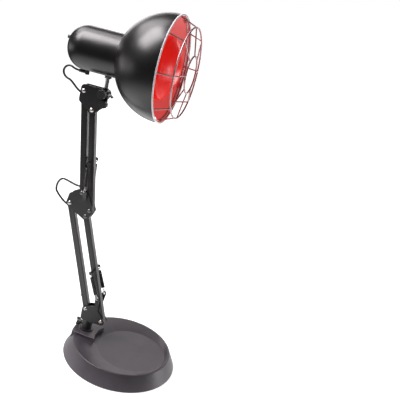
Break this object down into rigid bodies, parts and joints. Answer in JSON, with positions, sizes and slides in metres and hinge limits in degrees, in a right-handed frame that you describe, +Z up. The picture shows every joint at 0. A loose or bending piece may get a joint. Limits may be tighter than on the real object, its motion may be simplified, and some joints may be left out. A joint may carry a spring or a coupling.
{
  "type": "heat lamp",
  "caption": "Table infrared heat lamp: round weighted base, twin-tube sprung swing arm, tilting and turning black bowl shade with wire guard and red reflector bulb.",
  "frame": {"origin": "centre of the round base's underside, on the surface it stands on", "axes": "+X forward, the way the shade faces; +Y to the lamp's far side; +Z up"},
  "size_m": [0.2981, 0.19, 0.57],
  "materials": {
    "black_metal": "satin black powder coat",
    "shade_paint": "smooth satin black enamel",
    "weight": "as cast",
    "steel_plate": "zinc plated",
    "nickel": "bright nickel plate",
    "spring_steel": "oiled spring wire",
    "guard_wire": "plated wire",
    "foam": "closed-cell pad",
    "rubber": "matt",
    "cord": "soft satin flex",
    "nylon": "natural",
    "knob_plastic": "fine grained",
    "switch_plastic": "moulded",
    "porcelain": "white glaze",
    "brass": "plain",
    "cap_metal": "threaded cap",
    "red_glass": "ruby, frosted inside"
  },
  "bodies": {
    "base": {"base_shell": "black_metal", "base_weight": "weight", "base_floor": "steel_plate", "base_screws": "steel_plate", "base_foam": "foam", "post_platform": "black_metal", "post_socket": "black_metal", "post_nut": "steel_plate", "swivel_washer": "nylon"},
    "post_screw": {"post_wing_screw": "black_metal"},
    "turret": {"turret_bracket": "black_metal", "swivel_shaft": "steel_plate", "turret_rivets": "nickel"},
    "lower_rear": {"lower_rear_tube": "black_metal", "lower_tube_grommets": "rubber"},
    "lower_front": {"lower_front_tube": "black_metal", "lower_spring_pin": "nickel", "lower_near_spring": "spring_steel", "lower_far_spring": "spring_steel"},
    "elbow": {"elbow_near_plate": "black_metal", "elbow_far_plate": "black_metal", "elbow_rivets": "nickel", "elbow_cord": "cord"},
    "upper_rear": {"upper_rear_tube": "black_metal", "upper_tube_grommets": "rubber"},
    "upper_front": {"upper_front_tube": "black_metal", "upper_spring_pin": "nickel", "upper_near_spring": "spring_steel", "upper_far_spring": "spring_steel"},
    "head_bracket": {"head_near_plate": "black_metal", "head_far_plate": "black_metal", "head_rivets": "nickel", "tilt_discs": "nickel", "tilt_bolt": "steel_plate", "tension_nut": "nickel", "head_cord": "cord"},
    "wing_nut": {"tilt_wing_nut": "nickel"},
    "tilt_grip": {"tilt_knob": "knob_plastic"},
    "tension": {"tension_knob": "knob_plastic", "tension_bolt": "steel_plate"},
    "knuckle": {"head_knuckle": "black_metal"},
    "head": {"head_rod": "steel_plate", "rod_nuts": "nickel", "socket_cover": "black_metal", "cover_screws": "steel_plate", "shade": "shade_paint", "lamp_socket": "porcelain", "socket_ring": "porcelain", "socket_thread": "brass", "socket_contact": "brass", "wire_guard": "guard_wire", "guard_clips": "nickel", "switch_body": "switch_plastic", "switch_nut": "nickel", "cord_gland": "rubber"},
    "switch": {"switch_knob": "switch_plastic"},
    "bulb": {"bulb_glass": "red_glass", "bulb_cap": "cap_metal"}
  },
  "joints": [
    {"name": "arm_swivel", "type": "hinge", "parent": "base", "child": "turret", "pos_m": [-0.068, 0, 0.046], "axis": [0, 0, 1], "range_deg": [-170, 170]},
    {"name": "post_screw_turn", "type": "hinge", "parent": "base", "child": "post_screw", "pos_m": [-0.08, 0, 0.0366], "axis": [-1, 0, 0], "continuous": true},
    {"name": "lower_arm", "type": "hinge", "parent": "turret", "child": "lower_rear", "pos_m": [-0.0754, 0, 0.067], "axis": [0, 1, 0], "range_deg": [-18, 55]},
    {"name": "lower_front_swing", "type": "hinge", "parent": "turret", "child": "lower_front", "pos_m": [-0.0444, 0, 0.0536], "axis": [0, 1, 0], "range_deg": [-18, 55], "deforming": ["lower_near_spring", "lower_far_spring"]},
    {"name": "elbow_level", "type": "hinge", "parent": "lower_rear", "child": "elbow", "pos_m": [-0.1426, 0, 0.23936], "axis": [0, 1, 0], "range_deg": [-55, 18]},
    {"name": "upper_arm", "type": "hinge", "parent": "elbow", "child": "upper_rear", "pos_m": [-0.1259, 0, 0.26236], "axis": [0, 1, 0], "range_deg": [-5, 60], "deforming": ["elbow_cord"]},
    {"name": "upper_front_swing", "type": "hinge", "parent": "elbow", "child": "upper_front", "pos_m": [-0.1071, 0, 0.23726], "axis": [0, 1, 0], "range_deg": [-5, 60], "deforming": ["upper_near_spring", "upper_far_spring"]},
    {"name": "head_level", "type": "hinge", "parent": "upper_rear", "child": "head_bracket", "pos_m": [-0.15802, 0, 0.42094], "axis": [0, 1, 0], "range_deg": [-60, 5]},
    {"name": "head_tilt", "type": "hinge", "parent": "head_bracket", "child": "knuckle", "pos_m": [-0.12612, 0, 0.42514], "axis": [0, 1, 0], "range_deg": [-32, 55], "deforming": ["head_cord"]},
    {"name": "head_turn", "type": "hinge", "parent": "knuckle", "child": "head", "pos_m": [-0.12612, 0, 0.42514], "axis": [-0.0436, 0, 0.999], "range_deg": [-90, 90]},
    {"name": "wing_nut_turn", "type": "hinge", "parent": "head_bracket", "child": "wing_nut", "pos_m": [-0.12612, 0.01, 0.42514], "axis": [0, 1, 0], "continuous": true},
    {"name": "tilt_knob_turn", "type": "hinge", "parent": "head_bracket", "child": "tilt_grip", "pos_m": [-0.12612, -0.012, 0.42514], "axis": [0, -1, 0], "continuous": true},
    {"name": "tension_knob_turn", "type": "hinge", "parent": "head_bracket", "child": "tension", "pos_m": [-0.12102, -0.01, 0.41104], "axis": [0, -1, 0], "continuous": true},
    {"name": "switch_turn", "type": "hinge", "parent": "head", "child": "switch", "pos_m": [-0.18908, 0, 0.49156], "axis": [-0.999, 0, -0.0436], "continuous": true},
    {"name": "bulb_turn", "type": "hinge", "parent": "head", "child": "bulb", "pos_m": [-0.12874, 0, 0.48519], "axis": [0.999, 0, 0.0436], "continuous": true}
  ],
  "couplings": [
    {"joint": "lower_front_swing", "follows": "lower_arm", "ratio": 1},
    {"joint": "elbow_level", "follows": "lower_arm", "ratio": -1},
    {"joint": "upper_front_swing", "follows": "upper_arm", "ratio": 1},
    {"joint": "head_level", "follows": "upper_arm", "ratio": -1}
  ]
}
